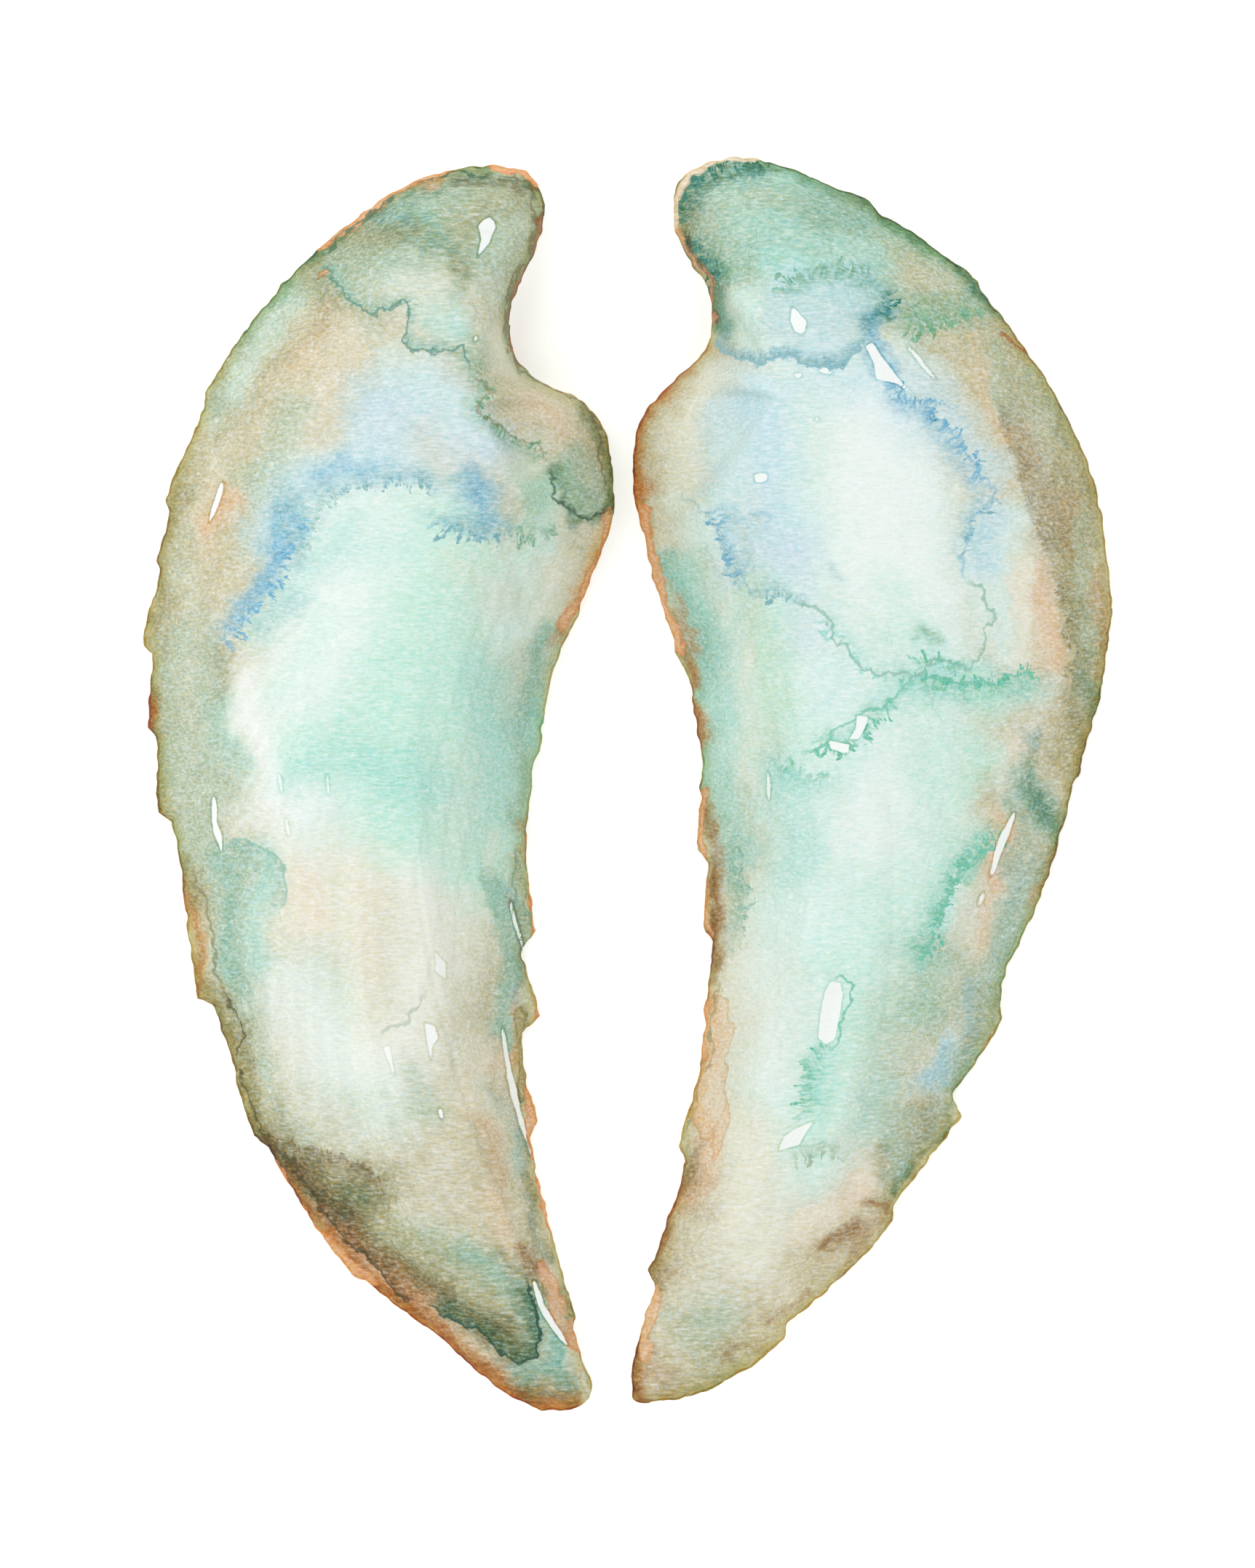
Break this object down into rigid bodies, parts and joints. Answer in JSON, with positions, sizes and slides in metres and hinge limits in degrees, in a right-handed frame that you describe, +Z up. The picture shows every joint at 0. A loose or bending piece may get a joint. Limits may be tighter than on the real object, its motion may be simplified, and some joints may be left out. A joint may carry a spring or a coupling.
{
  "type": "angel wing clam shell",
  "caption": "Thin, long, wing-shaped valves of a clam shell, loose and lying hollow side down, hinge margins facing, tinted sea green, aqua, peach and umber.",
  "frame": {"origin": "on the surface that the valves rest on, under the middle of the pair's bounding box", "axes": "+X towards the right valve, +Y along the shells to the short round front end, +Z up, away from the surface"},
  "size_m": [0.1154, 0.1495, 0.02],
  "materials": {
    "left_shell": "thin chalky shell, matt, in washes of sea green, aqua, peach and brown that pool darker at the margin",
    "right_shell": "thin chalky shell, matt, in washes of teal green, pale blue, cream and brown that pool darker at the margin"
  },
  "bodies": {
    "root": {"left_valve": "left_shell", "right_valve": "right_shell"}
  },
  "joints": []
}
